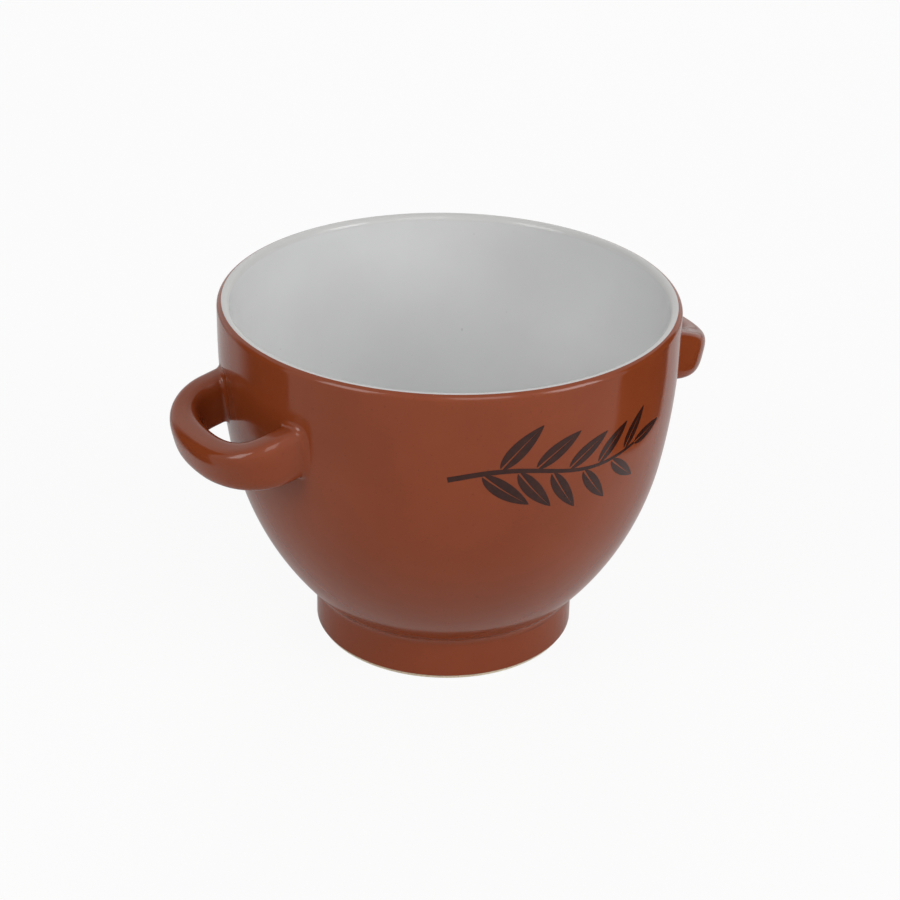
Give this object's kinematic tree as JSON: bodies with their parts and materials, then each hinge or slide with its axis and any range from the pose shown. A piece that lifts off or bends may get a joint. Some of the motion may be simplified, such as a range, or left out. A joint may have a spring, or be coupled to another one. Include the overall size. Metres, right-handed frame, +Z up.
{
  "type": "soup mug",
  "caption": "Round-bellied stoneware soup mug on a foot ring, with a loop handle on each side, brown glaze outside and pale glaze inside.",
  "frame": {"origin": "centre of the foot ring's underside, on the table", "axes": "+Z up along the axis of the bowl, +X through the right handle, the decorated front faces -Y"},
  "size_m": [0.154, 0.1204, 0.0955],
  "materials": {
    "clay": "bare fired stoneware, matt",
    "pale_glaze": "glossy pale grey-white glaze",
    "brown_glaze": "glossy reddish brown glaze"
  },
  "bodies": {
    "root": {"bowl": "clay", "foot_ring": "clay", "liner_glaze": "pale_glaze", "outer_glaze": "brown_glaze", "left_handle": "brown_glaze", "right_handle": "brown_glaze", "left_handle_slip": "brown_glaze", "right_handle_slip": "brown_glaze"}
  },
  "joints": []
}
